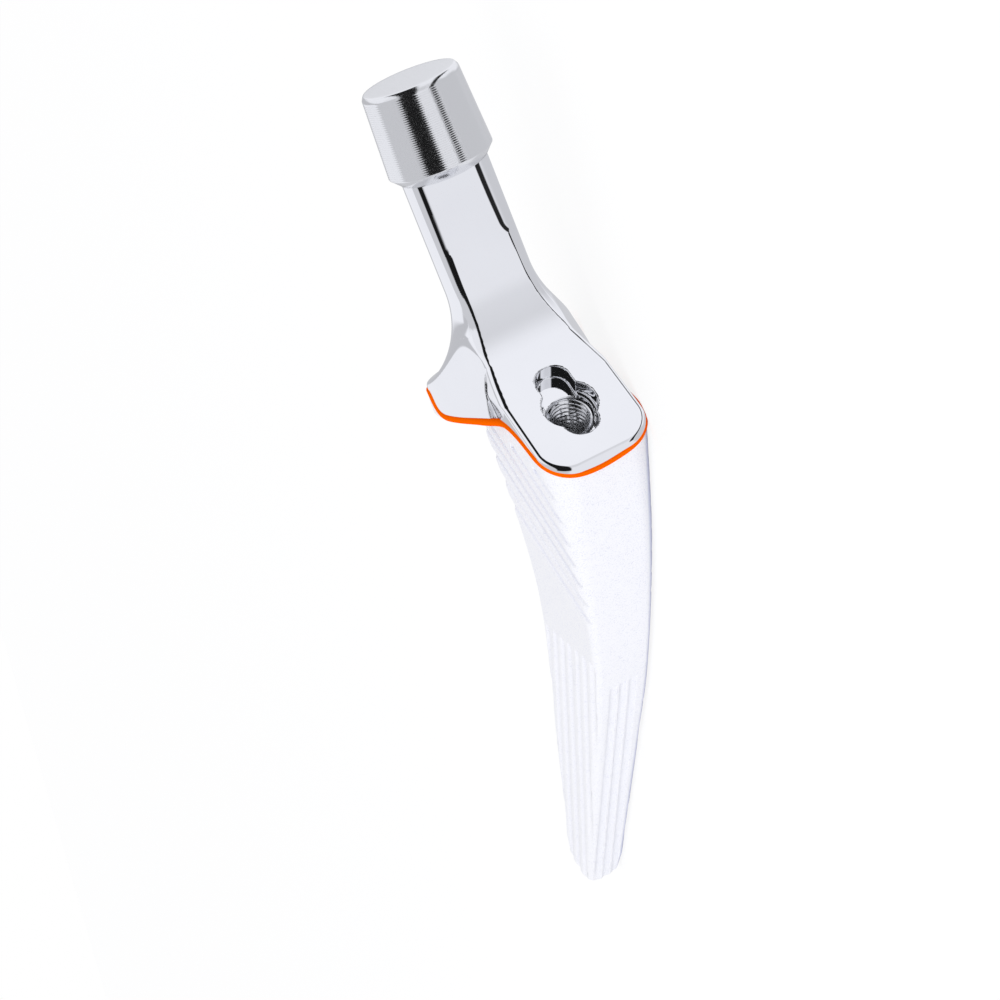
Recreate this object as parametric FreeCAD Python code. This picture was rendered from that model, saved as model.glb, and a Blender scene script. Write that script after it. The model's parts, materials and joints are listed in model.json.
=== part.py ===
import FreeCAD, Part
import math
import os

# Collared cementless hip stem, one forged and machined piece of titanium alloy, in millimetres.
# While it is modelled, Z is the long axis of the stem, X points to the inner side of the thigh
# (medial), Y runs from back to front, and the axes of stem and neck cross at the origin.
# Across is the direction square to the neck axis that points to the outer side (lateral).
# The finished stem is then laid on its side, as it comes to rest on a table.

# Neck and its 12/14 taper, measured along the neck axis from the origin
NECK_ANGLE = 45.0              # between stem axis and neck axis, degrees
NECK_END = 67.2                # end face of the taper
TAPER_LENGTH = 11.1
TAPER_BASE_DIAMETER = 14.0
TAPER_HALF_ANGLE = 2.833       # degrees, half of 5 degrees 40 minutes
TAPER_CHAMFER_LENGTH = 0.6
TAPER_CHAMFER_DEPTH = 0.35
UNDERCUT_LENGTH = 1.2          # bevel from the base of the taper down to the neck
NECK_DIAMETER = 11.5

# Flare between neck and collar
FLARE_START = 40.0             # along the neck axis
FLARE_RADIUS = 13.0

# Collar, its outline seen along the neck axis
COLLAR_UNDERSIDE = 23.3        # along the neck axis
COLLAR_HALF_WIDTH = 10.9
COLLAR_WIDEST_AT = 9.0         # medial of the neck axis
COLLAR_SIDE_RADIUS = 28.0
COLLAR_MEDIAL_REACH = 16.0     # from the neck axis to the medial tip
COLLAR_BACK_REACH = 7.0        # from the neck axis to the lateral edge, inside the shoulder

# Flat on the neck and top face of the shoulder
NECK_FLAT_OFFSET = 3.1         # from the neck axis
SWEEP_RADIUS = 16.0            # between the flat and the top face
SHOULDER_HEIGHT = 28.6         # height of the top face above the origin, over the stem axis
SHOULDER_RISE = 7.0            # degrees, rising to the lateral side
TOP_EDGE_RADIUS = 1.0          # round the top face, as far as the flanks of the body reach

# Tongue, the outline that runs from the wide shoulder into the narrow neck, seen across the neck
TONGUE_SHOULDER_HALF_WIDTH = 8.6
TONGUE_NECK_HALF_WIDTH = 4.4
TONGUE_WIDE_UNTIL = 20.0       # along the neck axis
TONGUE_NARROW_FROM = 40.0

# Body of the stem, front view
TIP_DEPTH = 104.0              # below the origin
LATERAL_TIP_REACH = 3.4        # from the stem axis to the lateral border at the tip
LATERAL_TAPER = 3.15           # degrees
LATERAL_BREAK_DEPTH = 10.8     # below the origin, where the lateral border turns
LATERAL_LEAN = 9.5             # degrees, the shoulder leans in to the stem axis
LATERAL_TURN_RADIUS = 220.0
MEDIAL_TIP_REACH = 3.8
MEDIAL_TAPER = 3.2             # degrees
MEDIAL_BREAK_DEPTH = 20.5
MEDIAL_FLARE = 21.5            # degrees
MEDIAL_TURN_RADIUS = 90.0

# Body of the stem, side view
TIP_HALF_THICKNESS = 2.95
DISTAL_THICKNESS_TAPER = 0.9   # degrees
THICKNESS_BREAK_DEPTH = 11.3
PROXIMAL_THICKNESS_TAPER = 4.6 # degrees
THICKNESS_TURN_RADIUS = 400.0

# Corners of the body in cross section
BODY_CORNER_RADIUS = 1.1
SHOULDER_CORNER_RADIUS = 4.8
SHOULDER_CORNER_FROM = -20.0   # height where the lateral corners begin to widen
TIP_CORNER_RADIUS = 2.3
TIP_CORNER_LENGTH = 8.0        # over this length the corners widen towards the tip
TIP_BEVEL_DEPTH = 1.0          # the tip ends in a bevel all round
TIP_BEVEL_LENGTH = 1.4
BODY_TOP = 32.0                # top of the loft, above the shoulder
BLEND_FROM = -36.0             # the borders bend between these heights
BLEND_TO = 16.0
BLEND_STEP = 6.5               # between cross sections where the borders bend

# Socket for the insertion tool, in the top face
SOCKET_AT = 7.0                # medial of the stem axis
SOCKET_SLOT_WIDTH = 4.5
SOCKET_SLOT_MEDIAL_END = 13.5  # from the stem axis
SOCKET_SLOT_LATERAL_END = 2.0
SOCKET_SLOT_FLOOR = 24.2       # height above the origin
SOCKET_BORE_DIAMETER = 7.0
SOCKET_BORE_FLOOR = 25.0
SOCKET_THREAD_DIAMETER = 5.35  # mean wall of the M6 thread
SOCKET_THREAD_BOTTOM = 11.0    # height above the origin
SOCKET_DRILL_POINT = 118.0     # degrees

REACH = 200.0                  # length of cutting solids, beyond the size of the stem

# Upright grooves on the lower half, on the two flanks and on the lateral and medial faces
GROOVE_RADIUS = 0.65
GROOVE_DEPTH = 0.4
GROOVE_OVERRUN = 2.0           # the cuts start this far below the tip
FLANK_GROOVE_PITCH = 2.1
FLANK_GROOVES = 7
FLANK_GROOVE_TOP = -23.9       # height of the groove ends over the stem axis
FLANK_GROOVE_TOP_SLOPE = 40.0  # degrees, the ends rise to the lateral side
FACE_GROOVE_PITCH = 1.5
FACE_GROOVES = 3
FACE_GROOVE_TOP = -26.0

# Level steps on the upper half of the two flanks
STEP_PITCH = 4.5
STEPS = 7
STEP_TOP = 21.5                # height of the highest step
STEP_DEPTH = 0.5
STEP_LEDGE = 0.3               # height of the steep side
STEP_RAMP = 2.2                # height of the shallow side
STEP_LIMIT_X = 1.2             # the steps end on a slanted line through this place
STEP_LIMIT_HEIGHT = 23.4
STEP_LIMIT_SLOPE = 34.5        # degrees, falling to the medial side
SOCKET_CLEAR = 20.0            # height of the cutting solids over the socket floors

ON_SURFACE = 0.001              # points this near to a surface lie on it
TABLE_CHORD = 0.05             # chord of the mesh that finds the resting pose
TABLE_ROUNDS = 8


def vec(x, y, z):
    return FreeCAD.Vector(x, y, z)


def turned_to_neck(shape):
    """Turn a shape built round Z so that Z becomes the neck axis and X points medially."""
    shape.rotate(vec(0, 0, 0), vec(0, 1, 0), NECK_ANGLE)
    return shape


def two_lines_with_turn(height, start_height, start_value, start_angle, turn_height, end_angle, radius):
    """Value at a height of a border that is straight, then an arc, then straight again."""
    first = math.tan(math.radians(start_angle))
    second = math.tan(math.radians(end_angle))
    corner = start_value + first * (turn_height - start_height)
    half = math.radians(end_angle - start_angle) / 2
    reach = radius * abs(math.tan(half))
    middle = math.cos(math.radians(start_angle + end_angle) / 2)
    offset = height - turn_height
    if offset <= -reach * middle:
        return corner + first * offset
    if offset >= reach * middle:
        return corner + second * offset
    blend = (offset + reach * middle) / (2 * reach * middle)
    return corner + first * offset + (second - first) * reach * middle * blend * blend


def lateral_border(height):
    return -two_lines_with_turn(height, -TIP_DEPTH, LATERAL_TIP_REACH, LATERAL_TAPER,
                                -LATERAL_BREAK_DEPTH, -LATERAL_LEAN, LATERAL_TURN_RADIUS)


def medial_border(height):
    return two_lines_with_turn(height, -TIP_DEPTH, MEDIAL_TIP_REACH, MEDIAL_TAPER,
                               -MEDIAL_BREAK_DEPTH, MEDIAL_FLARE, MEDIAL_TURN_RADIUS)


def half_thickness(height):
    return two_lines_with_turn(height, -TIP_DEPTH, TIP_HALF_THICKNESS, DISTAL_THICKNESS_TAPER,
                               -THICKNESS_BREAK_DEPTH, PROXIMAL_THICKNESS_TAPER,
                               THICKNESS_TURN_RADIUS)


def tip_share(height):
    return max(0.0, 1 - (height + TIP_DEPTH) / TIP_CORNER_LENGTH)


def lateral_corner(height):
    up = max(0.0, (height - SHOULDER_CORNER_FROM) / (BODY_TOP - SHOULDER_CORNER_FROM))
    wide = BODY_CORNER_RADIUS + (SHOULDER_CORNER_RADIUS - BODY_CORNER_RADIUS) * up * up
    return wide + (TIP_CORNER_RADIUS - BODY_CORNER_RADIUS) * tip_share(height)


def medial_corner(height):
    return BODY_CORNER_RADIUS + (TIP_CORNER_RADIUS - BODY_CORNER_RADIUS) * tip_share(height)


def arc_round(centre, radius, start):
    """Quarter arc in a horizontal plane, anticlockwise from a start angle in degrees."""
    points = []
    for angle in (start, start + 45, start + 90):
        turn = math.radians(angle)
        points.append(centre + vec(radius * math.cos(turn), radius * math.sin(turn), 0))
    return Part.Arc(*points).toShape(), points[0], points[2]


def body_section(height, inset=0.0):
    """Rounded rectangle of the stem at one height, made smaller all round by an inset."""
    left = lateral_border(height) + inset
    right = medial_border(height) - inset
    half = half_thickness(height) - inset
    lateral = lateral_corner(height) - inset
    medial = medial_corner(height) - inset
    corners = ((right - medial, half - medial, medial, 0),
               (left + lateral, half - lateral, lateral, 90),
               (left + lateral, lateral - half, lateral, 180),
               (right - medial, medial - half, medial, 270))
    arcs = [arc_round(vec(x, y, height), radius, start) for x, y, radius, start in corners]
    edges = []
    for i, (arc, start, end) in enumerate(arcs):
        edges.append(arc)
        edges.append(Part.LineSegment(end, arcs[(i + 1) % 4][1]).toShape())
    return Part.Wire(edges)


def body():
    """Loft from the bevelled tip to above the shoulder, straight between its sections."""
    steps = round((BLEND_TO - BLEND_FROM) / BLEND_STEP)
    heights = [-TIP_DEPTH + TIP_BEVEL_LENGTH, -TIP_DEPTH + TIP_CORNER_LENGTH]
    for i in range(steps + 1):
        heights.append(BLEND_FROM + (BLEND_TO - BLEND_FROM) * i / steps)
    heights.append(BODY_TOP)
    sections = [body_section(-TIP_DEPTH, TIP_BEVEL_DEPTH)]
    sections += [body_section(height) for height in heights]
    return Part.makeLoft(sections, True, True)


def neck_revolve():
    """Taper, neck and flare in one turned form."""
    neck = NECK_DIAMETER / 2
    base = TAPER_BASE_DIAMETER / 2
    taper_start = NECK_END - TAPER_LENGTH
    shrink = math.tan(math.radians(TAPER_HALF_ANGLE))
    top = base - shrink * (TAPER_LENGTH - TAPER_CHAMFER_LENGTH)
    centre_out = neck + FLARE_RADIUS
    low = FLARE_START - FLARE_RADIUS
    slant = FLARE_RADIUS * math.sqrt(0.5)
    flare = Part.Arc(vec(neck, 0, FLARE_START), vec(centre_out - slant, 0, FLARE_START - slant),
                     vec(centre_out, 0, low)).toShape()
    corners = [vec(centre_out, 0, low), vec(centre_out, 0, COLLAR_UNDERSIDE), vec(0, 0, COLLAR_UNDERSIDE),
               vec(0, 0, NECK_END), vec(top - TAPER_CHAMFER_DEPTH, 0, NECK_END),
               vec(top, 0, NECK_END - TAPER_CHAMFER_LENGTH), vec(base, 0, taper_start),
               vec(neck, 0, taper_start - UNDERCUT_LENGTH), vec(neck, 0, FLARE_START)]
    edges = [Part.LineSegment(a, b).toShape() for a, b in zip(corners, corners[1:])]
    profile = Part.Face(Part.Wire(edges + [flare]))
    return profile.revolve(vec(0, 0, 0), vec(0, 0, 1), 360)


def collar_prism():
    """Outline of the collar, seen along the neck axis, run up past the flare."""
    base = COLLAR_UNDERSIDE
    wide = COLLAR_HALF_WIDTH
    side = COLLAR_WIDEST_AT
    back = -COLLAR_BACK_REACH
    middle = (side + back) / 2

    def side_width(x):
        return wide - COLLAR_SIDE_RADIUS + math.sqrt(COLLAR_SIDE_RADIUS ** 2 - (side - x) ** 2)

    round_end = Part.Ellipse(vec(side, wide, base), vec(COLLAR_MEDIAL_REACH, 0, base), vec(side, 0, base))
    edges = [Part.ArcOfEllipse(round_end, 0, math.pi).toShape()]
    for sign in (1, -1):
        edges.append(Part.Arc(vec(side, sign * wide, base), vec(middle, sign * side_width(middle), base),
                              vec(back, sign * side_width(back), base)).toShape())
    edges.append(Part.LineSegment(vec(back, side_width(back), base),
                                  vec(back, -side_width(back), base)).toShape())
    outline = Part.Face(Part.Wire(Part.__sortEdges__(edges)))
    return outline.extrude(vec(0, 0, NECK_END - base))


def neck_point(along, across, y=0.0):
    """Point given along and across the neck axis."""
    turn = math.radians(NECK_ANGLE)
    return vec(along * math.sin(turn) - across * math.cos(turn), y,
               along * math.cos(turn) + across * math.sin(turn))


def top_cutter():
    """Everything above the flat of the neck, the sweep and the top face of the shoulder."""
    rise = math.radians(SHOULDER_RISE)
    flat_end = neck_point(NECK_END - TAPER_LENGTH - UNDERCUT_LENGTH, NECK_FLAT_OFFSET)
    back = vec(-REACH, 0, SHOULDER_HEIGHT + REACH * math.tan(rise))
    along_flat = neck_point(-1, 0)
    along_top = vec(-math.cos(rise), 0, math.sin(rise))
    gap = vec(0, 0, SHOULDER_HEIGHT) - flat_end
    cross = along_flat.x * along_top.z - along_flat.z * along_top.x
    distance = (gap.x * along_top.z - gap.z * along_top.x) / cross
    corner = flat_end + along_flat * distance
    half_turn = along_flat.getAngle(along_top) / 2
    reach = SWEEP_RADIUS * math.tan(half_turn)
    start = corner - along_flat * reach
    end = corner + along_top * reach
    inward = (along_top - along_flat).normalize()
    middle = corner + inward * (SWEEP_RADIUS / math.cos(half_turn) - SWEEP_RADIUS)
    lift = neck_point(0, REACH)
    edges = [Part.LineSegment(flat_end, start).toShape(), Part.Arc(start, middle, end).toShape(),
             Part.LineSegment(end, back).toShape(), Part.LineSegment(back, back + lift).toShape(),
             Part.LineSegment(back + lift, flat_end + lift).toShape(),
             Part.LineSegment(flat_end + lift, flat_end).toShape()]
    wire = Part.Wire(edges)
    wire.translate(vec(0, -REACH / 2, 0))
    return Part.Face(wire).extrude(vec(0, REACH, 0))


def tongue_prism():
    """Outline across the neck that narrows from the shoulder to the neck."""
    wide = TONGUE_SHOULDER_HALF_WIDTH
    narrow = TONGUE_NECK_HALF_WIDTH
    lateral = -REACH
    edges = []
    for sign in (1, -1):
        line = Part.BSplineCurve()
        line.interpolate([vec(lateral, sign * wide, TONGUE_WIDE_UNTIL),
                          vec(lateral, sign * narrow, TONGUE_NARROW_FROM)],
                         InitialTangent=vec(0, 0, 1) * (TONGUE_NARROW_FROM - TONGUE_WIDE_UNTIL),
                         FinalTangent=vec(0, 0, 1) * (TONGUE_NARROW_FROM - TONGUE_WIDE_UNTIL))
        edges.append(line.toShape())
    low = -REACH
    high = NECK_END - TAPER_LENGTH - UNDERCUT_LENGTH
    corners = [vec(lateral, narrow, TONGUE_NARROW_FROM), vec(lateral, narrow, high),
               vec(lateral, -narrow, high), vec(lateral, -narrow, TONGUE_NARROW_FROM)]
    edges += [Part.LineSegment(a, b).toShape() for a, b in zip(corners, corners[1:])]
    corners = [vec(lateral, wide, TONGUE_WIDE_UNTIL), vec(lateral, wide, low),
               vec(lateral, -wide, low), vec(lateral, -wide, TONGUE_WIDE_UNTIL)]
    edges += [Part.LineSegment(a, b).toShape() for a, b in zip(corners, corners[1:])]
    wire = Part.Wire(Part.__sortEdges__(edges))
    return turned_to_neck(Part.Face(wire).extrude(vec(REACH - lateral, 0, 0)))


def socket():
    """Slot, counterbore and threaded bore for the insertion tool."""
    half = SOCKET_SLOT_WIDTH / 2
    length = SOCKET_SLOT_MEDIAL_END - SOCKET_SLOT_LATERAL_END - SOCKET_SLOT_WIDTH
    floor = SOCKET_SLOT_FLOOR
    lateral_end = SOCKET_SLOT_LATERAL_END + half
    medial_end = SOCKET_SLOT_MEDIAL_END - half
    tool = Part.makeBox(length, SOCKET_SLOT_WIDTH, SOCKET_CLEAR, vec(lateral_end, -half, floor))
    for x in (lateral_end, medial_end):
        tool = tool.fuse(Part.makeCylinder(half, SOCKET_CLEAR, vec(x, 0, floor)))
    bore_floor = vec(SOCKET_AT, 0, SOCKET_BORE_FLOOR)
    tool = tool.fuse(Part.makeCylinder(SOCKET_BORE_DIAMETER / 2, SOCKET_CLEAR, bore_floor))
    radius = SOCKET_THREAD_DIAMETER / 2
    depth = SOCKET_BORE_FLOOR - SOCKET_THREAD_BOTTOM
    tool = tool.fuse(Part.makeCylinder(radius, depth, vec(SOCKET_AT, 0, SOCKET_THREAD_BOTTOM)))
    point = radius / math.tan(math.radians(SOCKET_DRILL_POINT / 2))
    return tool.fuse(Part.makeCone(0, radius, point, vec(SOCKET_AT, 0, SOCKET_THREAD_BOTTOM - point)))


def on_body(point):
    """Whether a point lies on a flank or on the lateral face of the body."""
    on_flank = abs(abs(point.y) - half_thickness(point.z)) < ON_SURFACE
    return on_flank or point.x < lateral_border(point.z) + lateral_corner(point.z)


def top_edges(shape):
    """Edges of the top face and its sweep that lie on the body."""
    top = vec(math.sin(math.radians(SHOULDER_RISE)), 0, math.cos(math.radians(SHOULDER_RISE)))
    edges = []
    for face in shape.Faces:
        surface = face.Surface
        flat_top = surface.TypeId == "Part::GeomPlane" and abs(surface.Axis.dot(top)) > 1 - ON_SURFACE
        sweep = surface.TypeId == "Part::GeomCylinder" and abs(surface.Radius - SWEEP_RADIUS) < ON_SURFACE
        if flat_top or sweep:
            edges += [edge for edge in face.Edges if on_body(edge.valueAt(edge.ParameterRange[1]))
                      and on_body(edge.valueAt(edge.ParameterRange[0]))]
    return edges


def straight_groove(bottom, top):
    """Round-bottomed groove that ends square to its length."""
    return Part.makeCylinder(GROOVE_RADIUS, (top - bottom).Length, bottom, top - bottom)


def upright_grooves():
    """Grooves that run down to the tip, following each tapered face."""
    lift = GROOVE_RADIUS - GROOVE_DEPTH
    low = -TIP_DEPTH - GROOVE_OVERRUN
    tools = []
    for i in range(FLANK_GROOVES):
        x = (i - (FLANK_GROOVES - 1) / 2) * FLANK_GROOVE_PITCH
        high = FLANK_GROOVE_TOP - x * math.tan(math.radians(FLANK_GROOVE_TOP_SLOPE))
        for side in (1, -1):
            bottom = vec(x, side * (half_thickness(low) + lift), low)
            tools.append(straight_groove(bottom, vec(x, side * (half_thickness(high) + lift), high)))
    for i in range(FACE_GROOVES):
        y = (i - (FACE_GROOVES - 1) / 2) * FACE_GROOVE_PITCH
        for border, side in ((lateral_border, -1), (medial_border, 1)):
            bottom = vec(border(low) + side * lift, y, low)
            top = vec(border(FACE_GROOVE_TOP) + side * lift, y, FACE_GROOVE_TOP)
            tools.append(straight_groove(bottom, top))
    return tools


def level_steps():
    """Wedge cuts across both flanks, each with a ledge below and a ramp above."""
    tools = []
    for i in range(STEPS):
        height = STEP_TOP - i * STEP_PITCH
        lateral = lateral_border(height) - STEP_PITCH
        medial = STEP_LIMIT_X + (STEP_LIMIT_HEIGHT - height) / math.tan(math.radians(STEP_LIMIT_SLOPE))
        medial = min(medial, medial_border(height) + STEP_PITCH)
        deep = half_thickness(height) - STEP_DEPTH
        below = half_thickness(height - STEP_LEDGE)
        above = half_thickness(height + STEP_RAMP)
        for side in (1, -1):
            points = [vec(lateral, side * deep, height), vec(lateral, side * below, height - STEP_LEDGE),
                      vec(lateral, side * (above + STEP_PITCH), height - STEP_LEDGE),
                      vec(lateral, side * (above + STEP_PITCH), height + STEP_RAMP),
                      vec(lateral, side * above, height + STEP_RAMP)]
            wedge = Part.Face(Part.makePolygon(points + points[:1]))
            tools.append(wedge.extrude(vec(medial - lateral, 0, 0)))
    return tools


def table_turn(shape):
    """Turn that lays the stem on its back flank: collar, shoulder and tip touch the table."""
    points = shape.tessellate(TABLE_CHORD)[0]
    neck = neck_point(1, 0)
    collar = [p for p in points if p.dot(neck) < FLARE_START and p.x > SOCKET_SLOT_MEDIAL_END]
    shoulder = [p for p in points if p.x < SOCKET_AT and p.z > 0]
    tip = [p for p in points if p.z < BLEND_FROM]
    down = vec(0, -1, 0)
    for _ in range(TABLE_ROUNDS):
        a, b, c = (max(zone, key=lambda p: p.dot(down)) for zone in (collar, shoulder, tip))
        down = (b - a).cross(c - a).normalize()
        if down.y > 0:
            down = down * -1
    up = down * -1
    along = (vec(0, 0, 1) - up * up.z).normalize()
    side = up.cross(along)
    matrix = FreeCAD.Matrix(along.x, along.y, along.z, 0, side.x, side.y, side.z, 0,
                            up.x, up.y, up.z, 0, 0, 0, 0, 1)
    laid = [matrix.multVec(p) for p in points]
    spans = [(min(values), max(values)) for values in zip(*laid)]
    shift = vec(-sum(spans[0]) / 2, -sum(spans[1]) / 2, -spans[2][0])
    return FreeCAD.Placement(shift, FreeCAD.Rotation(matrix))


def stem():
    """Whole stem, upright, with its stem axis along Z."""
    above = Part.makeBox(REACH, REACH, REACH, vec(-REACH / 2, -REACH / 2, FLARE_START))
    head = turned_to_neck(neck_revolve().common(collar_prism().fuse(above)))
    medial = turned_to_neck(Part.makeBox(REACH, REACH, REACH, vec(0, -REACH / 2, COLLAR_UNDERSIDE)))
    shoulder = body().common(tongue_prism()).cut(medial)
    solid = shoulder.fuse(head).cut(top_cutter())
    solid = solid.makeFillet(TOP_EDGE_RADIUS, top_edges(solid))
    solid = solid.cut(socket())
    solid = solid.cut(upright_grooves())
    return solid.cut(level_steps()).Solids[0]


piece = stem()
piece.Placement = table_turn(piece)
os.makedirs("parts", exist_ok=True)
piece.exportStep("parts/stem.step")
print("stem valid", piece.isValid(), "solids", len(piece.Solids), "volume", round(piece.Volume, 1))
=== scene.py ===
import json
import math

import bpy
import numpy as np
from mathutils import Matrix, Vector


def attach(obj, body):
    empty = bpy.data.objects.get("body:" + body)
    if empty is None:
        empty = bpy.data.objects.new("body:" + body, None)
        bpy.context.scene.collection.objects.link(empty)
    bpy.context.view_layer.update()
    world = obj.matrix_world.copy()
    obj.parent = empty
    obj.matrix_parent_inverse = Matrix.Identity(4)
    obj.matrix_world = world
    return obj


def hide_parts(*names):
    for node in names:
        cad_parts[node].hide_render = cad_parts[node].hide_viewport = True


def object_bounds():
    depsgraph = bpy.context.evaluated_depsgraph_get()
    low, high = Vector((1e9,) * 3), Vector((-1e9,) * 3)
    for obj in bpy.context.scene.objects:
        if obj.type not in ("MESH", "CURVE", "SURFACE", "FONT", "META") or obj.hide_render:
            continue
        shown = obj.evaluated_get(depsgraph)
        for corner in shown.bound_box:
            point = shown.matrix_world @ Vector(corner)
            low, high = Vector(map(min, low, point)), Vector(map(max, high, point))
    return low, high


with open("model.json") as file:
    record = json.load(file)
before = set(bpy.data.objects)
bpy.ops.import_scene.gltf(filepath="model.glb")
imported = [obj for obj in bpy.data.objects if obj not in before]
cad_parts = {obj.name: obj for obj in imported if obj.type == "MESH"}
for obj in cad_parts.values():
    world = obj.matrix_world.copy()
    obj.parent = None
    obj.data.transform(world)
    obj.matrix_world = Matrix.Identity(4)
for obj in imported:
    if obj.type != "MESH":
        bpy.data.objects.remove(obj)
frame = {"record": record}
CAD_BOX = [list(corner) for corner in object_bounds()]

# All sizes of the stem are in millimetres in its upright frame: X to the inner side of the thigh,
# Y to the front, Z up along the stem, with the origin where the axes of stem and neck cross.
MM = 0.001

# Neck, taper and flare, along the neck axis
NECK_END = 67.2
TAPER_LENGTH = 11.1
TAPER_BASE_RADIUS = 7.0
TAPER_HALF_ANGLE = 2.833
TAPER_CHAMFER = (0.35, 0.6)
UNDERCUT_LENGTH = 1.2
UNDERCUT_OVERLAP = 0.6
NECK_RADIUS = 5.75
FLARE_START = 40.0
FLARE_RADIUS = 13.0

# Collar
COLLAR_UNDERSIDE = 23.3
COLLAR_HALF_WIDTH = 10.9
COLLAR_WIDEST_AT = 9.0
COLLAR_STRAIGHT_FROM = 9.0
COLLAR_SIDE_SLOPE = 0.336
COLLAR_BACK = 5.2
COLLAR_LEAN = 0.2
COLLAR_LEAN_FROM = 24.6
COLLAR_LEAN_UNTIL = 34.5
COLLAR_LEAN_EASE = 0.8
COLLAR_REACH = 16.0
COLLAR_BACK_EDGE = 0.35
COLLAR_TOP_EDGE = 0.3
COLLAR_LOWER_EDGE = 0.4

# Crease between the end of the collar's side wall and the shoulder
CREASE_SLANT = 0.12
CREASE_LEVEL = 25.5
CREASE_PARTS_BY = 5
CREASE_PARTS_BETWEEN = (30, 33.5)
CREASE_AWAY = 0.3
CREASE_RADIUS = 0.6
CREASE_SHRINK = 0.035
CREASE_WIDEST_AT = 24
CREASE_ENDS_BETWEEN = (28.5, 31.5)
CREASE_CLOSED = 0.2
SHOULDER_FILLET = 0.35
FILLET_UNDER_LINE = 2.5

# Top outline
FLAT_OFFSET = 3.1
SWEEP_RADIUS = 16.0
SHOULDER_HEIGHT = 28.6
SHOULDER_RISE = 7.0
TONGUE_WIDE = 8.6
TONGUE_NARROW = 4.4
TONGUE_WIDE_UNTIL = 20.0
TONGUE_NARROW_FROM = 40.0
FLAT_HALF_WIDTH = 4.9
BESIDE_SLOPE = 1.5
TOP_EDGE_AT_SHOULDER = 0.72
TOP_EDGE_ADDED = 0.43
TOP_EDGE_BETWEEN = (34, 54)

# Socket in the top face
SOCKET_AT = 7.0
SLOT_HALF_WIDTH = 2.25
SLOT_ENDS = (2.0, 13.5)
SLOT_FLOOR = 24.2
BORE_RADIUS = 3.5
BORE_FLOOR = 25.0
THREAD_MAJOR_RADIUS = 3.0
THREAD_MINOR_RADIUS = 2.46
THREAD_PITCH = 1.0
THREAD_BOTTOM = 11.0
THREAD_SIDES = 96
THREAD_ROWS = 10
THREAD_STEEPNESS = 2.6
THREAD_CREST = 0.15
DRILL_POINT = 1.5
CORE_RADIUS = 4.6
CORE_FLOOR = 9
SOCKET_CORNER = 0.12
BORE_CLEARANCE = 0.02
FINE_EDGE = 0.15

# Factors that bring a sideways gap near to a true distance
TONGUE_SCALE = 0.97
COLLAR_SCALE = 0.95
BESIDE_SCALE = 0.55
RAMP_SCALE = 0.97
DROP_SCALE = 0.51

# Fine turned grooves of the taper
TURNING_PITCH = 0.28
TURNING_DEPTH = 0.02
TURNING_ROWS = 6
TAPER_SIDES = 144

# Line along the edge of the coating
LINE_RADIUS = 0.52
LINE_SUNK = 0.2
LINE_ALONG = 23.75
LINE_POINTS = 420
LINE_SIDES = 16
LINE_START_OUT = 12.8
LINE_START_SIZE = (17.5, 12.5)
LINE_START_LEVEL = 36.0
LINE_SMOOTHING = 40
LINE_NORMAL_SMOOTHING = 8
LINE_TRACE_STEPS = 60
LINE_TRACE_SHARE = 0.7
LINE_ABOVE_TABLE = 0.03
CLIMB_HEIGHT = 3.5
CLIMB_BETWEEN = (6.6, 9.4)
DROP_HEIGHT = 0.9
DROP_BETWEEN = (9.6, 11)
MARGIN_LEVEL = 27.8
MARGIN_DIP = 1.0
MARGIN_DIP_AT = 0.9
MARGIN_DIP_WIDTH = 4
MARGIN_ROUND = 4.2

# Blade. A border has its start at the tip, first angle, height of the turn, second angle, turn radius.
TIP = -104.0
LATERAL_BORDER = (3.4, 3.15, -10.8, -9.5, 220.0)
MEDIAL_BORDER = (3.8, 3.2, -20.5, 21.5, 90.0)
THICKNESS_BORDER = (2.95, 0.9, -11.3, 4.6, 400.0)
BLADE_CORNER = 1.1
SHOULDER_CORNER = 3.7
SHOULDER_CORNER_FROM = -20
SHOULDER_CORNER_SPAN = 52
TIP_CORNER = 1.2
TIP_CORNER_SPAN = 8
TIP_EDGE = 2.1

# Grooves and ledges of the blade
GROOVE_RADIUS = 0.65
GROOVE_DEPTH = 0.4
FLANK_PITCH = 2.1
FLANK_EACH_SIDE = 3
FLANK_TOP = -23.9
FLANK_TOP_ANGLE = 40
EDGE_PITCH = 1.5
EDGE_EACH_SIDE = 1
EDGE_TOP = -26.0
LEDGE_TOP = 21.5
LEDGE_SHIFT = 0.9
LEDGE_PITCH = 4.5
LEDGES_BELOW = 6
LEDGE_DEPTH = 0.5
LEDGE_RAMP = 2.2
LEDGE_DROP = 0.3
LEDGE_LIMIT = (1.2, 23.4)
LEDGE_LIMIT_ANGLE = 34.5
LEDGE_EDGE = 0.1
LEDGE_END_EDGE = 0.2

# Grids of the two large pieces: lowest corner, highest corner and cell
NECK_GRID = ((-4.0, -11.6, 4.4), (44.0, 11.6, 44.4), 0.216)
BLADE_GRID = ((-10.0, -11.6, -105.0), (30.0, 11.6, 28.6), 0.315)
NET_STEPS = 5
LEAST_SLOPE = 0.05

# Camera in the upright frame, in millimetres
CAMERA_LENS = 124.47
CAMERA_SENSOR = 36.0
CAMERA_PLACE = (-182.63, 105.67, 398.36)
CAMERA_RIGHT = (-0.484, -0.875, -0.021)
CAMERA_UP = (0.762, -0.433, 0.481)
CAMERA_BACK = (-0.430, 0.216, 0.876)

# Floor and lamp, in the row's metres and in watts
FLOOR_REACH = 8
LAMP_PLACE = (0.2, -0.7, 0.35)
LAMP_POWER = 1.6
LAMP_SIZE = 0.6

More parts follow.
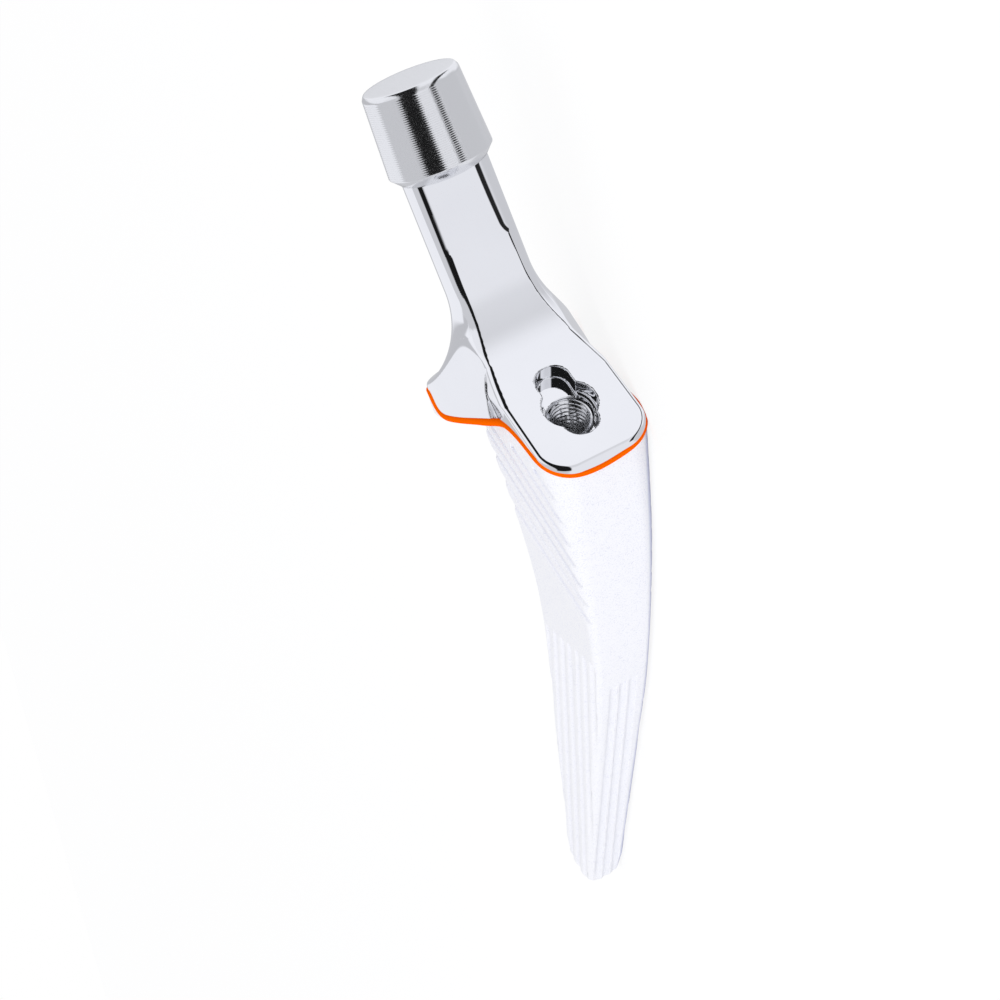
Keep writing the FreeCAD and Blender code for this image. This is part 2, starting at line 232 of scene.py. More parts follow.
# Panels seen in gloss, in degrees: middle and half width of the turn, lowest and highest elevation, soft
# edge; then the light. The turn counts from the side where the photograph was taken.
BASE_LIGHT = 0.64
PANELS = (
    (10, 150, -42, 6, 6, 0.86),
    (95, 55, -62, 85, 10, 0.95),
    (11, 19, -20, 6, 9, 0.72),
    (170, 19, -10, 90, 6, 0.57),
    (-163, 25, 13, 70, 3, 0.92),
    (38, 20, 46, 75, 4, 0.88),
    (15, 77, 4, 43, 2.5, 0.01),
    (33, 67, -40, -27, 1.5, 0.02),
)
GLOSS_TINT = (0.975, 0.985, 1.03)

mounts = {mount["name"]: mount for mount in frame["record"]["mounts"]}
STEM = Vector(mounts["socket_thread"]["axis"]).normalized()
NECK = Vector(mounts["neck_taper"]["axis"]).normalized()
FRONT = STEM.cross(NECK).normalized()
MEDIAL = FRONT.cross(STEM)
ORIGIN = Vector(mounts["neck_taper"]["pos_m"]) - NECK * NECK_END * MM
AXES = np.array([list(MEDIAL), list(FRONT), list(STEM)])
SLANT = math.sqrt(0.5)


def to_row(points):
    """Upright millimetres to the row's metres."""
    return np.asarray(points) @ AXES * MM + np.array(ORIGIN)


def step(value, low, high):
    """Smooth step from 0 to 1."""
    t = np.clip((value - low) / (high - low), 0, 1)
    return t * t * (3 - 2 * t)


def join(a, b, radius):
    """Union of two distances with a round inner corner."""
    inner = np.hypot(np.maximum(radius - a, 0), np.maximum(radius - b, 0))
    return np.maximum(radius, np.minimum(a, b)) - inner


def overlap(a, b, radius):
    """Intersection of two distances with a round outer edge."""
    outer = np.hypot(np.maximum(radius + a, 0), np.maximum(radius + b, 0))
    return np.minimum(-radius, np.maximum(a, b)) + outer


def turned_border(z, start, first, turn, second, radius):
    """A border that is straight, then an arc, then straight again."""
    a, b = math.tan(math.radians(first)), math.tan(math.radians(second))
    reach = radius * abs(math.tan(math.radians(second - first) / 2))
    reach *= math.cos(math.radians(first + second) / 2)
    corner = start + a * (turn - TIP)
    blend = np.clip((z - turn + reach) / (2 * reach), 0, 1)
    bent = (b - a) * reach * blend * blend
    past = np.maximum(z - turn - reach, 0)
    return corner + a * (z - turn) + bent + (b - a) * past


def lateral_border(z):
    return -turned_border(z, *LATERAL_BORDER)


def medial_border(z):
    return turned_border(z, *MEDIAL_BORDER)


def half_thickness(z):
    return turned_border(z, *THICKNESS_BORDER)


def blade(x, y, z):
    """Rounded rectangle at each height, with wide lateral corners at the shoulder."""
    left, right, half = lateral_border(z), medial_border(z), half_thickness(z)
    up = np.maximum(0, (z - SHOULDER_CORNER_FROM) / SHOULDER_CORNER_SPAN)
    tip = np.maximum(0, 1 - (z - TIP) / TIP_CORNER_SPAN) * TIP_CORNER
    middle, width = (left + right) / 2, (right - left) / 2
    corner = np.where(x < middle, BLADE_CORNER + SHOULDER_CORNER * up * up, BLADE_CORNER) + tip
    qx = np.abs(x - middle) - width + corner
    qy = np.abs(y) - half + corner
    beyond = np.hypot(np.maximum(qx, 0), np.maximum(qy, 0))
    flat = np.minimum(np.maximum(qx, qy), 0) + beyond - corner
    return overlap(flat, TIP - z, TIP_EDGE)


def top_cut(x, z):
    """Distance above the top outline: flat of the neck, sweep and top face."""
    rise = math.radians(SHOULDER_RISE)
    flat = (z - x) * SLANT - FLAT_OFFSET
    top = (z - SHOULDER_HEIGHT) * math.cos(rise) + x * math.sin(rise)
    normals = np.array([[-SLANT, SLANT], [math.sin(rise), math.cos(rise)]])
    offsets = np.array([FLAT_OFFSET, SHOULDER_HEIGHT * math.cos(rise)])
    centre = np.linalg.solve(normals, offsets + SWEEP_RADIUS)
    dx, dz = x - centre[0], z - centre[1]
    medial_side = dx * normals[0][1] - dz * normals[0][0]
    lateral_side = dx * normals[1][1] - dz * normals[1][0]
    arc = SWEEP_RADIUS - np.hypot(dx, dz)
    return np.where(medial_side > 0, flat, np.where(lateral_side < 0, top, arc))


def tongue_width(along):
    share = step(along, TONGUE_WIDE_UNTIL, TONGUE_NARROW_FROM)
    return TONGUE_WIDE + (TONGUE_NARROW - TONGUE_WIDE) * share


def tongue(along, y):
    return (np.abs(y) - tongue_width(along)) * TONGUE_SCALE


def flare(radius, along):
    """Round neck that widens in an arc towards the collar."""
    dr = radius - NECK_RADIUS - FLARE_RADIUS
    da = along - FLARE_START
    arc = FLARE_RADIUS - np.hypot(dr, da)
    return np.where(da > 0, radius - NECK_RADIUS, arc)


def collar_outline(out, y):
    """Outline seen along the neck: elliptical medial end, and sides that close in laterally."""
    t = np.clip(COLLAR_STRAIGHT_FROM - out, 0, COLLAR_STRAIGHT_FROM) / COLLAR_STRAIGHT_FROM
    past = np.maximum(-out, 0)
    width = COLLAR_HALF_WIDTH - COLLAR_SIDE_SLOPE * (t * t * COLLAR_STRAIGHT_FROM / 2 + past)
    side = (np.abs(y) - width) * COLLAR_SCALE
    a, b = COLLAR_REACH - COLLAR_WIDEST_AT, COLLAR_HALF_WIDTH
    u, v = (out - COLLAR_WIDEST_AT) / a, y / b
    k = np.hypot(u, v)
    end = k * (k - 1) / np.maximum(np.hypot(u / a, v / b), 1e-6)
    return np.where(out > COLLAR_WIDEST_AT, end, side)


def socket(x, y, z):
    """Slot, counterbore and bore, negative inside."""
    middle = (SLOT_ENDS[0] + SLOT_ENDS[1]) / 2
    straight = (SLOT_ENDS[1] - SLOT_ENDS[0]) / 2 - SLOT_HALF_WIDTH
    slot = np.hypot(np.maximum(np.abs(x - middle) - straight, 0), y) - SLOT_HALF_WIDTH
    round_part = np.hypot(x - SOCKET_AT, y)
    slot = overlap(slot, SLOT_FLOOR - z, FINE_EDGE)
    counterbore = overlap(round_part - BORE_RADIUS, BORE_FLOOR - z, FINE_EDGE)
    bore = np.maximum(round_part - THREAD_MAJOR_RADIUS - BORE_CLEARANCE, THREAD_BOTTOM - z)
    return join(join(slot, counterbore, SOCKET_CORNER), bore, FINE_EDGE)


def margin(x, y, z, along=COLLAR_UNDERSIDE):
    """Distance above the coating's edge: over the flanks, under the collar and up its medial end."""
    level = MARGIN_LEVEL - MARGIN_DIP * np.exp(-((y - MARGIN_DIP_AT) / MARGIN_DIP_WIDTH) ** 2)
    out = (x - z) * SLANT
    climb = CLIMB_HEIGHT * step(out, *CLIMB_BETWEEN) - DROP_HEIGHT * step(out, *DROP_BETWEEN)
    return overlap(z - level, (x + z) * SLANT - along - climb, MARGIN_ROUND)


def crease_at(along):
    """Where the collar's side wall ends, measured laterally from the neck axis."""
    parts = CREASE_PARTS_BY * step(along, *CREASE_PARTS_BETWEEN)
    return COLLAR_BACK + CREASE_SLANT * (along - CREASE_LEVEL) + parts


def head(along, out, y):
    """Neck, flare and collar. The side walls lean in towards the top and end beside the shoulder."""
    rise = np.clip(along - COLLAR_LEAN_FROM, 0, COLLAR_LEAN_UNTIL - COLLAR_LEAN_FROM)
    lean = COLLAR_LEAN * (np.hypot(rise, COLLAR_LEAN_EASE) - COLLAR_LEAN_EASE)
    outline = overlap(collar_outline(out, y) + lean, -out - crease_at(along), COLLAR_BACK_EDGE)
    body = overlap(flare(np.hypot(out, y), along), outline, COLLAR_TOP_EDGE)
    body = overlap(body, COLLAR_UNDERSIDE - along, COLLAR_LOWER_EDGE)
    depth = -top_cut((along + out) * SLANT, (along - out) * SLANT)
    width = np.maximum(tongue_width(along), FLAT_HALF_WIDTH)
    beside = np.abs(y) - width - BESIDE_SLOPE * depth
    return overlap(body, BESIDE_SCALE * beside, COLLAR_TOP_EDGE)


def upper(p, fine=True):
    """Neck, collar and shoulder with the socket; if not fine, with a soft fillet and no crease."""
    x, y, z = p[:, 0], p[:, 1], p[:, 2]
    along, across = (x + z) * SLANT, (z - x) * SLANT
    keep = np.minimum(along - COLLAR_UNDERSIDE, -across)
    shoulder = np.maximum(np.maximum(blade(x, y, z), tongue(along, y)), keep)
    whole = join(shoulder, head(along, -across, y), SHOULDER_FILLET if fine else FILLET_UNDER_LINE)
    if fine:
        flank = np.minimum(half_thickness(z), tongue_width(along))
        crease = np.hypot(crease_at(along) + CREASE_AWAY - across, np.abs(y) - flank)
        radius = CREASE_RADIUS - CREASE_SHRINK * np.abs(along - CREASE_WIDEST_AT)
        ended = step(along, *CREASE_ENDS_BETWEEN)
        crease -= radius * (1 - ended) - CREASE_CLOSED * ended
        whole = overlap(whole, -crease, FINE_EDGE)
    edge = TOP_EDGE_AT_SHOULDER + TOP_EDGE_ADDED * step(along, *TOP_EDGE_BETWEEN)
    whole = overlap(whole, top_cut(x, z), edge)
    return overlap(whole, -socket(x, y, z), FINE_EDGE)


def bar(a, b, above):
    """Distance to a round bar that ends in a ball; above is the height over its end."""
    return np.sqrt(a ** 2 + b ** 2 + above ** 2) - GROOVE_RADIUS


def grooves(x, y, z):
    """Upright grooves and level ledges of the coated blade, negative inside."""
    half = half_thickness(z)
    nearest = np.clip(np.round(x / FLANK_PITCH), -FLANK_EACH_SIDE, FLANK_EACH_SIDE) * FLANK_PITCH
    top = FLANK_TOP - nearest * math.tan(math.radians(FLANK_TOP_ANGLE))
    flank = bar(x - nearest, np.abs(y) - half - GROOVE_RADIUS + GROOVE_DEPTH, np.maximum(z - top, 0))
    nearest = np.clip(np.round(y / EDGE_PITCH), -EDGE_EACH_SIDE, EDGE_EACH_SIDE) * EDGE_PITCH
    above = np.maximum(z - EDGE_TOP, 0)
    lateral = bar(y - nearest, x - lateral_border(z) + GROOVE_RADIUS - GROOVE_DEPTH, above)
    medial = bar(y - nearest, x - medial_border(z) - GROOVE_RADIUS + GROOVE_DEPTH, above)
    upright = np.minimum(flank, np.minimum(lateral, medial))
    index = np.clip(np.round((LEDGE_TOP + LEDGE_SHIFT - z) / LEDGE_PITCH), 0, LEDGES_BELOW)
    height = LEDGE_TOP - LEDGE_PITCH * index
    offset = z - height
    out = np.abs(y) - half
    ramp = (-LEDGE_DEPTH + offset * LEDGE_DEPTH / LEDGE_RAMP - out) * RAMP_SCALE
    ledge = (-LEDGE_DEPTH - offset * LEDGE_DEPTH / LEDGE_DROP - out) * DROP_SCALE
    slope = math.tan(math.radians(LEDGE_LIMIT_ANGLE))
    limit = x - LEDGE_LIMIT[0] - (LEDGE_LIMIT[1] - height) / slope
    scales = overlap(overlap(ramp, ledge, LEDGE_EDGE), limit, LEDGE_END_EDGE)
    return np.minimum(upright, scales)


def core(x, y, z):
    """Metal round the socket, which belongs to the polished piece down to the drill point."""
    middle = (SLOT_ENDS[0] + SLOT_ENDS[1]) / 2
    straight = (SLOT_ENDS[1] - SLOT_ENDS[0]) / 2 - SLOT_HALF_WIDTH
    wall = np.hypot(np.maximum(np.abs(x - middle) - straight, 0), y) - CORE_RADIUS
    return np.maximum(wall, CORE_FLOOR - z)


def coated(p):
    """The coated piece: blade with grooves, and the collar's medial end."""
    x, y, z = p[:, 0], p[:, 1], p[:, 2]
    cut = overlap(blade(x, y, z), -grooves(x, y, z), FINE_EDGE)
    collar = head((x + z) * SLANT, (x - z) * SLANT, y)
    return np.maximum(np.minimum(cut, collar), np.maximum(margin(x, y, z), -core(x, y, z)))


def polished(p):
    """The polished piece, which ends inside the bevel below the taper."""
    x, y, z = p[:, 0], p[:, 1], p[:, 2]
    along = (x + z) * SLANT
    below = np.minimum(-margin(x, y, z), core(x, y, z))
    end = NECK_END - TAPER_LENGTH - UNDERCUT_OVERLAP
    return np.maximum(np.maximum(upper(p), below), along - end)


def gradient(distance, points, h=0.01):
    result = np.empty_like(points)
    for axis in range(3):
        shift = np.zeros(3)
        shift[axis] = h
        result[:, axis] = (distance(points + shift) - distance(points - shift)) / (2 * h)
    return result


def net(distance, low, high, cell):
    """Vertices, unit normals and quads of the surface where a distance is zero."""
    axes = [np.arange(a, b + cell, cell) for a, b in zip(low, high)]
    shape = [len(axis) for axis in axes]
    grid = np.stack(np.meshgrid(*axes, indexing="ij"), -1)
    value = distance(grid.reshape(-1, 3)).reshape(shape)
    inside = value < 0
    cells = tuple(n - 1 for n in shape)
    corner = [inside[i:i + cells[0], j:j + cells[1], k:k + cells[2]]
              for i in (0, 1) for j in (0, 1) for k in (0, 1)]
    full = np.logical_and.reduce(corner)
    mixed = np.logical_or.reduce(corner) & ~full
    index = np.full(cells, -1)
    index[mixed] = np.arange(mixed.sum())
    where = np.argwhere(mixed)
    points = np.array(low) + (where + 0.5) * cell
    quads = []
    for axis in range(3):
        ahead = np.roll(inside, -1, axis)
        changes = inside != ahead
        trim = [slice(1, -1)] * 3
        trim[axis] = slice(0, -1)
        spots = np.argwhere(changes[tuple(trim)])
        for other in range(3):
            if other != axis:
                spots[:, other] += 1
        u, v = (axis + 1) % 3, (axis + 2) % 3
        step_u, step_v = np.eye(3, dtype=int)[u], np.eye(3, dtype=int)[v]
        around = ((0, 0), (1, 0), (1, 1), (0, 1))
        ring = [index[tuple((spots - a * step_u - b * step_v).T)] for a, b in around]
        ring = np.stack(ring, 1)
        start_inside = inside[tuple(spots.T)]
        ring[~start_inside] = ring[~start_inside][:, ::-1]
        quads.append(ring)
    for _ in range(NET_STEPS):
        slope = gradient(distance, points)
        move = distance(points) / np.maximum((slope ** 2).sum(1), LEAST_SLOPE)
        points = points - slope * np.clip(move, -cell, cell)[:, None]
    slope = gradient(distance, points)
    normals = slope / np.linalg.norm(slope, axis=1)[:, None]
    return points, normals, np.concatenate(quads)


def add_piece(name, points, faces, normals=None):
    """Mesh object in the row frame."""
    mesh = bpy.data.meshes.new(name)
    places = to_row(points)
    places = np.clip(places, *CAD_BOX)
    mesh.from_pydata(places.tolist(), [], [list(map(int, face)) for face in faces])
    mesh.polygons.foreach_set("use_smooth", [True] * len(mesh.polygons))
    if normals is not None:
        mesh.normals_split_custom_set_from_vertices((normals @ AXES).tolist())
    piece = bpy.data.objects.new(name, mesh)
    bpy.context.collection.objects.link(piece)
    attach(piece, "root")
    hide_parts("stem")
    return piece


def neck_frame(radius, angle, along):
    """Upright point from a radius and an angle round the neck axis; angle 0 is lateral."""
    across = radius * np.cos(angle)
    y = radius * np.sin(angle)
    return np.stack([(along - across) * SLANT, y, (along + across) * SLANT], -1)


def make_taper():
    """Turned taper with its fine grooves, its chamfer and the bevel below.

    Points a little before and after each corner keep the corner slightly round.
    """
    base = TAPER_BASE_RADIUS
    start = NECK_END - TAPER_LENGTH
    slope = math.tan(math.radians(TAPER_HALF_ANGLE))
    top = base - slope * (TAPER_LENGTH - TAPER_CHAMFER[1])
    profile = [(5.0, start - UNDERCUT_LENGTH - 0.3), (NECK_RADIUS, start - UNDERCUT_LENGTH),
               (base - 0.2, start - 0.08), (base - 0.05, start + 0.06)]
    grooves = int((TAPER_LENGTH - TAPER_CHAMFER[1] - 0.3) / TURNING_PITCH)
    for i in range(grooves * TURNING_ROWS + 1):
        t = 0.2 + i * TURNING_PITCH / TURNING_ROWS
        wave = math.cos(2 * math.pi * i / TURNING_ROWS) - 1
        profile.append((base - slope * t + TURNING_DEPTH / 2 * wave, start + t))
    rim = top - TAPER_CHAMFER[0]
    profile += [(top - 0.03, NECK_END - TAPER_CHAMFER[1] + 0.05), (rim + 0.04, NECK_END - 0.06),
                (rim - 0.05, NECK_END - 0.005), (rim - 0.2, NECK_END)]
    profile += [(r, NECK_END) for r in (5.0, 4.0, 3.0, 2.0, 1.0)]
    angles = np.arange(TAPER_SIDES) * 2 * math.pi / TAPER_SIDES
    points = np.concatenate([neck_frame(r, angles, a) for r, a in profile])
    faces = ring_faces(len(profile), TAPER_SIDES)
    last = (len(profile) - 1) * TAPER_SIDES
    faces.append([last + j for j in range(TAPER_SIDES)][::-1])
    return add_piece("taper", points, faces)


def ring_faces(rings, sides, closed=False):
    """Quads between rings of points that follow each other."""
    faces = []
    for i in range(rings if closed else rings - 1):
        for j in range(sides):
            k = (j + 1) % sides
            m = (i + 1) % rings
            faces.append((i * sides + j, m * sides + j, m * sides + k, i * sides + k))
    return faces


def trace_margin():
    """Points and surface normals along the edge of the coating, all the way round."""
    turn = np.arange(LINE_POINTS) * 2 * math.pi / LINE_POINTS
    x = LINE_START_OUT + LINE_START_SIZE[0] * np.cos(turn)
    y = LINE_START_SIZE[1] * np.sin(turn)
    points = np.stack([x, y, np.minimum(MARGIN_LEVEL, LINE_START_LEVEL - x)], 1)

    def line(p):
        return margin(p[:, 0], p[:, 1], p[:, 2], LINE_ALONG)

    def surface(p):
        return upper(p, False)

    for _ in range(LINE_TRACE_STEPS):
        a, b = surface(points), line(points)
        u, v = gradient(surface, points), gradient(line, points)
        uu, vv, uv = (u * u).sum(1), (v * v).sum(1), (u * v).sum(1)
        det = np.maximum(uu * vv - uv * uv, LEAST_SLOPE)
        s = np.clip((a * vv - b * uv) / det, -1, 1)
        t = np.clip((b * uu - a * uv) / det, -1, 1)
        points = points - LINE_TRACE_SHARE * (u * s[:, None] + v * t[:, None])
    points = even(points, LINE_POINTS)
    for _ in range(LINE_SMOOTHING):
        points = (np.roll(points, 1, 0) + 2 * points + np.roll(points, -1, 0)) / 4
    normals = gradient(surface, points)
    for _ in range(LINE_NORMAL_SMOOTHING):
        normals = (np.roll(normals, 1, 0) + 2 * normals + np.roll(normals, -1, 0)) / 4
    return points, normals / np.linalg.norm(normals, axis=1)[:, None]


def even(points, count):
    """The same closed line with evenly spaced points."""
    ring = np.vstack([points, points[:1]])
    length = np.concatenate([[0], np.cumsum(np.linalg.norm(np.diff(ring, axis=0), axis=1))])
    at = np.arange(count) * length[-1] / count
    return np.stack([np.interp(at, length, ring[:, k]) for k in range(3)], 1)


def make_line():
    """Round bead partly sunk in the surface along the edge of the coating."""
    points, normals = trace_margin()
    tangent = np.roll(points, -1, 0) - np.roll(points, 1, 0)
    tangent /= np.linalg.norm(tangent, axis=1)[:, None]
    side = np.cross(tangent, normals)
    centre = points - normals * LINE_SUNK
    rings = []
    for j in range(LINE_SIDES):
        angle = 2 * math.pi * j / LINE_SIDES
        rings.append(centre + LINE_RADIUS * (math.cos(angle) * side + math.sin(angle) * normals))
    tube = np.stack(rings, 1).reshape(-1, 3)
    low = (tube @ AXES[:, 2]) * MM + ORIGIN[2]
    tube += np.outer(np.maximum(0, LINE_ABOVE_TABLE * MM - low) / MM, AXES[:, 2])
    faces = ring_faces(LINE_POINTS, LINE_SIDES, True)
    return add_piece("margin_line", tube, faces)


def make_thread():
    """Helical wall of the threaded bore, closed by the drill point."""
    sides = THREAD_SIDES
    rows = int((SLOT_FLOOR + 0.3 - THREAD_BOTTOM) / THREAD_PITCH * THREAD_ROWS)
    angles = np.arange(sides) * 2 * math.pi / sides
    points = []
    for i in range(rows + 1):
        z = THREAD_BOTTOM + i * THREAD_PITCH / THREAD_ROWS
        phase = (z / THREAD_PITCH - angles / (2 * math.pi)) % 1
        wave = np.clip(np.abs(phase - 0.5) * THREAD_STEEPNESS - THREAD_CREST, 0, 1)
        radius = THREAD_MINOR_RADIUS + (THREAD_MAJOR_RADIUS - THREAD_MINOR_RADIUS) * wave
        x, y = SOCKET_AT + radius * np.cos(angles), radius * np.sin(angles)
        points.append(np.stack([x, y, np.full(sides, z)], 1))
    points.append(np.array([[SOCKET_AT, 0, THREAD_BOTTOM - DRILL_POINT]]))
    faces = ring_faces(rows + 1, sides)
    centre = (rows + 1) * sides
    faces += [(centre, j, (j + 1) % sides) for j in range(sides)]
    return add_piece("socket_thread", np.concatenate(points), faces)


def make_camera():
    """Camera at the photograph's viewing angle."""
    data = bpy.data.cameras.new("camera")
    data.sensor_width = CAMERA_SENSOR
    data.lens = CAMERA_LENS
    item = bpy.data.objects.new("camera", data)
    bpy.context.collection.objects.link(item)
    place = to_row([CAMERA_PLACE])[0]
    turned = [Vector(np.array(axis) @ AXES) for axis in (CAMERA_RIGHT, CAMERA_UP, CAMERA_BACK)]
    item.matrix_world = Matrix(turned).transposed().to_4x4()
    item.matrix_world.translation = Vector(place)
    data.clip_start = 0.01
    data.clip_end = 50
    bpy.context.scene.camera = item


class Nodes:
    """Short names for building a node tree."""

    def __init__(self, tree):
        self.tree = tree

    def add(self, kind, operation=None, **inputs):
        node = self.tree.nodes.new("ShaderNode" + kind)
        if operation:
            node.operation = operation
        for name, value in inputs.items():
            key = int(name[1:]) if name[0] == "_" else name.replace("_", " ")
            self.put(node.inputs[key], value)
        return node

    def put(self, socket, value):
        if isinstance(value, bpy.types.NodeSocket):
            self.tree.links.new(value, socket)
        else:
            socket.default_value = value

    def math(self, operation, *values):
        node = self.add("Math", operation)
        for socket, value in zip(node.inputs, values):
            self.put(socket, value)
        return node.outputs[0]

    def ramp(self, value, low, high, a=0.0, b=1.0):
        """Smooth step of a value from a to b."""
        node = self.tree.nodes.new("ShaderNodeMapRange")
        node.interpolation_type = "SMOOTHSTEP"
        names = ("Value", "From Min", "From Max", "To Min", "To Max")
        for name, part in zip(names, (value, low, high, a, b)):
            self.put(node.inputs[name], part)
        return node.outputs["Result"]

    def mix(self, factor, a, b):
        """Blend of two colours."""
        node = self.tree.nodes.new("ShaderNodeMix")
        node.data_type = "RGBA"
        self.put(node.inputs["Factor"], factor)
        self.put(node.inputs[6], a)
        self.put(node.inputs[7], b)
        return node.outputs[2]


def principled(name, colour, roughness, metallic):
    """A material, its shader, and its node helper."""
    made = bpy.data.materials.new(name)
    made.use_nodes = True
    shader = made.node_tree.nodes["Principled BSDF"]
    shader.inputs["Base Color"].default_value = (*colour, 1)
    shader.inputs["Roughness"].default_value = roughness
    shader.inputs["Metallic"].default_value = metallic
    return made, shader, Nodes(made.node_tree)


def noise(nodes, scale, detail=2.0, roughness=0.5, stretch=None):
    """Noise with its scale in repeats per metre, optionally stretched."""
    place = nodes.add("TexCoord").outputs["Object"]
    if stretch:
        place = nodes.add("Mapping", Vector=place, Scale=stretch).outputs["Vector"]
    made = nodes.add("TexNoise", Vector=place, Scale=scale, Detail=detail, Roughness=roughness)
    return made.outputs[0]


def bump(nodes, shader, height, strength, distance):
    """Relief in metres on a shader."""
    made = nodes.add("Bump", Strength=strength, Distance=distance, Height=height)
    nodes.put(shader.inputs["Normal"], made.outputs["Normal"])


def polished_metal():
    made, shader, nodes = principled("polished_titanium", (0.90, 0.905, 0.925), 0.035, 1.0)
    tone = nodes.mix(noise(nodes, 90, 3), (0.87, 0.875, 0.90, 1), (0.93, 0.935, 0.955, 1))
    nodes.put(shader.inputs["Base Color"], tone)
    nodes.put(shader.inputs["Roughness"], nodes.ramp(noise(nodes, 900, 4), 0.3, 0.75, 0.02, 0.06))
    bump(nodes, shader, noise(nodes, 1400, 3), 0.03, 0.00002)
    return made


def turned_metal():
    made, shader, nodes = principled("turned_titanium", (0.85, 0.855, 0.87), 0.12, 1.0)
    nodes.put(shader.inputs["Roughness"], nodes.ramp(noise(nodes, 6000, 2), 0.35, 0.7, 0.07, 0.2))
    bump(nodes, shader, noise(nodes, 9000, 2), 0.35, 0.00001)
    return made


def thread_metal():
    made, shader, nodes = principled("machined_titanium", (0.82, 0.825, 0.84), 0.12, 1.0)
    nodes.put(shader.inputs["Roughness"], nodes.ramp(noise(nodes, 3000, 2), 0.35, 0.7, 0.08, 0.2))
    return made


def coating():
    made, shader, nodes = principled("coating", (0.90, 0.90, 0.92), 0.9, 0.0)
    grain = noise(nodes, 5200, 3, 0.7)
    patch = noise(nodes, 700, 3)
    speckle = nodes.ramp(grain, 0.33, 0.5)
    colour = nodes.mix(speckle, (0.76, 0.775, 0.87, 1), (0.94, 0.945, 0.98, 1))
    colour = nodes.mix(nodes.ramp(patch, 0.35, 0.65, 0, 0.35), colour, (0.945, 0.95, 0.975, 1))
    # Painted shade: ambient occlusion darkens the coating's colour to a bluish grey inside the grooves
    # and ledges
    painted_groove_shade = nodes.add("AmbientOcclusion", Distance=0.0011).outputs["AO"]
    colour = nodes.mix(nodes.ramp(painted_groove_shade, 0.35, 0.95), (0.66, 0.69, 0.84, 1), colour)
    nodes.put(shader.inputs["Base Color"], colour)
    shader.inputs["Specular IOR Level"].default_value = 0.2
    bump(nodes, shader, grain, 0.6, 0.00006)
    return made


def line_paint():
    made, shader, nodes = principled("orange_line", (1.0, 0.135, 0.0), 0.45, 0.0)
    grain = noise(nodes, 2500, 2)
    nodes.put(shader.inputs["Base Color"], nodes.mix(grain, (0.98, 0.12, 0.0, 1), (1.0, 0.15, 0.0, 1)))
    shader.inputs["Specular IOR Level"].default_value = 0.0
    bump(nodes, shader, grain, 0.1, 0.00002)
    return made


def floor_paint():
    """White floor that keeps the stem's shadow."""
    made = bpy.data.materials.new("floor")
    made.use_nodes = True
    nodes = Nodes(made.node_tree)
    output = made.node_tree.nodes["Material Output"]
    made.node_tree.nodes.remove(made.node_tree.nodes["Principled BSDF"])
    path = nodes.add("LightPath")
    glow = nodes.add("Emission", Color=(1.05, 1.05, 1.05, 1), Strength=1.0)
    paint = nodes.add("BsdfDiffuse", Color=(0.9, 0.9, 0.91, 1))
    seen = nodes.math("MULTIPLY", path.outputs["Is Camera Ray"], 0.8)
    both = nodes.add("MixShader", _0=seen, _1=paint.outputs[0], _2=glow.outputs[0])
    nodes.put(output.inputs["Surface"], both.outputs[0])
    return made


def make_floor():
    mesh = bpy.data.meshes.new("floor")
    r = FLOOR_REACH
    corners = [(-r, -r, 0), (r, -r, 0), (r, r, 0), (-r, r, 0)]
    mesh.from_pydata(corners, [], [(0, 1, 2, 3)])
    floor = bpy.data.objects.new("floor", mesh)
    bpy.context.collection.objects.link(floor)
    floor.data.materials.append(floor_paint())
    floor.visible_glossy = False


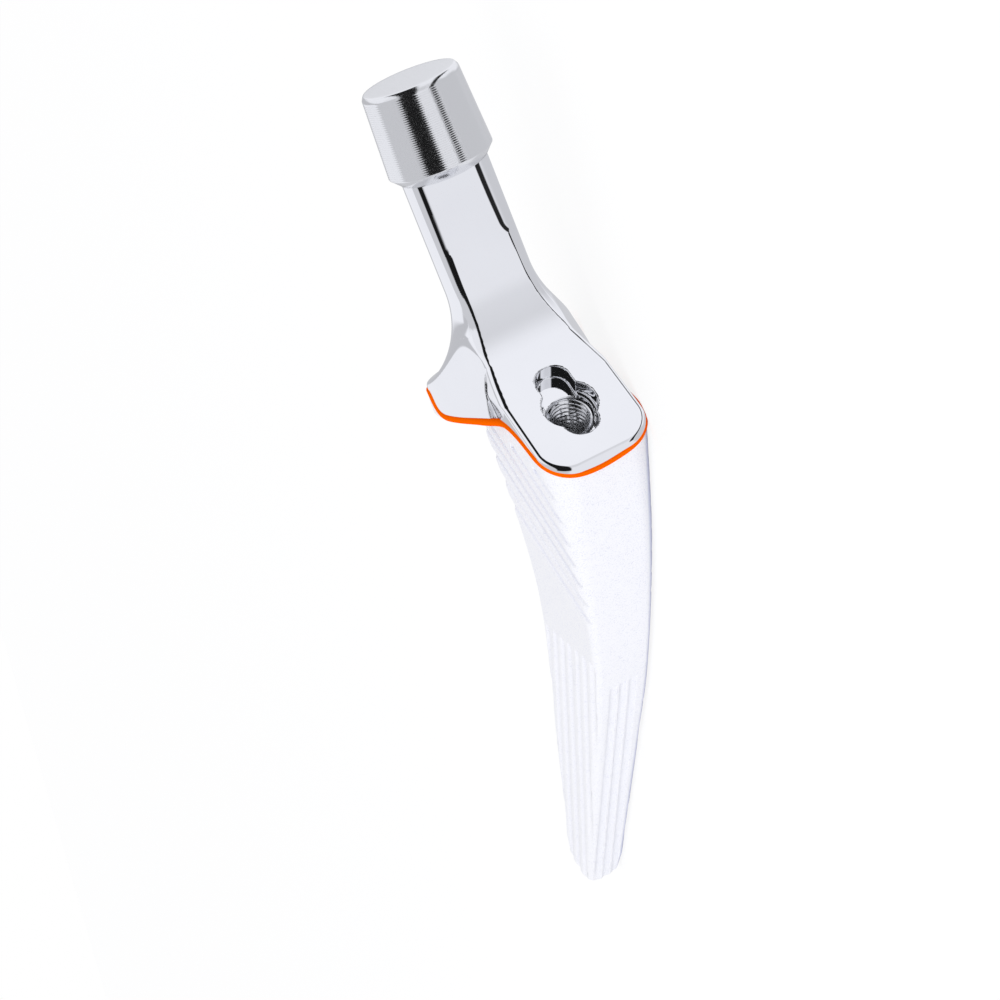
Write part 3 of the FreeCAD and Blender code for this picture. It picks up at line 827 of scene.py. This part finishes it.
def make_world():
    """Even white room, which holds soft panels in gloss."""
    world = bpy.data.worlds.new("world")
    bpy.context.scene.world = world
    world.use_nodes = True
    nodes = Nodes(world.node_tree)
    path = nodes.add("LightPath")
    way = nodes.add("TexCoord").outputs["Generated"]

    def toward(axis):
        return nodes.add("VectorMath", "DOT_PRODUCT", _0=way, _1=axis).outputs["Value"]

    near = np.array(CAMERA_BACK) @ AXES
    near[2] = 0
    near /= np.linalg.norm(near)
    side = np.cross((0, 0, 1), near)
    turn = nodes.math("ARCTAN2", toward(tuple(side)), toward(tuple(near)))
    height = nodes.math("ARCSINE", toward((0, 0, 1)))
    value = BASE_LIGHT
    for middle, half, low, high, soft, light in PANELS:
        off = nodes.math("SUBTRACT", turn, math.radians(middle))
        off = nodes.math("WRAP", off, math.pi, -math.pi)
        off = nodes.math("ABSOLUTE", off)
        across = nodes.ramp(off, math.radians(half - soft), math.radians(half + soft), 1.0, 0.0)
        above = nodes.ramp(height, math.radians(low - soft), math.radians(low + soft))
        below = nodes.ramp(height, math.radians(high - soft), math.radians(high + soft), 1.0, 0.0)
        inside = nodes.math("MULTIPLY", nodes.math("MULTIPLY", above, below), across)
        change = nodes.math("SUBTRACT", light, value)
        value = nodes.math("MULTIPLY_ADD", inside, change, value)
    red, green, blue = (nodes.math("MULTIPLY", value, tint) for tint in GLOSS_TINT)
    gloss = nodes.add("CombineColor", Red=red, Green=green, Blue=blue).outputs[0]
    even_light = nodes.mix(path.outputs["Is Camera Ray"], (0.84, 0.84, 0.85, 1), (1, 1, 1, 1))
    colour = nodes.mix(path.outputs["Is Glossy Ray"], even_light, gloss)
    background = world.node_tree.nodes["Background"]
    nodes.put(background.inputs["Color"], colour)
    background.inputs["Strength"].default_value = 1.0


def make_lamp(name, place, power, size):
    """Soft square lamp aimed at the stem; it doesn't show in gloss."""
    data = bpy.data.lights.new(name, "AREA")
    data.energy = power
    data.size = size
    lamp = bpy.data.objects.new(name, data)
    bpy.context.collection.objects.link(lamp)
    aim = Vector((0, 0, 0.01)) - Vector(place)
    lamp.rotation_euler = aim.to_track_quat("-Z", "Y").to_euler()
    lamp.location = place
    lamp.visible_glossy = False


points, normals, quads = net(polished, *NECK_GRID)
top = add_piece("neck_and_shoulder", points, quads, normals)
top.data.materials.append(polished_metal())
points, normals, quads = net(coated, *BLADE_GRID)
low = add_piece("coated_blade", points, quads, normals)
low.data.materials.append(coating())
line = make_line()
line.data.materials.append(line_paint())
line.visible_glossy = False
taper = make_taper()
taper.data.materials.append(turned_metal())
thread = make_thread()
thread.data.materials.append(thread_metal())
make_camera()
make_floor()
make_world()
make_lamp("side_lamp", LAMP_PLACE, LAMP_POWER, LAMP_SIZE)
bpy.context.scene.view_settings.view_transform = "Standard"

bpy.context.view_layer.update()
for piece in (top, low, line, taper, thread):
    print(piece.name, len(piece.data.polygons))
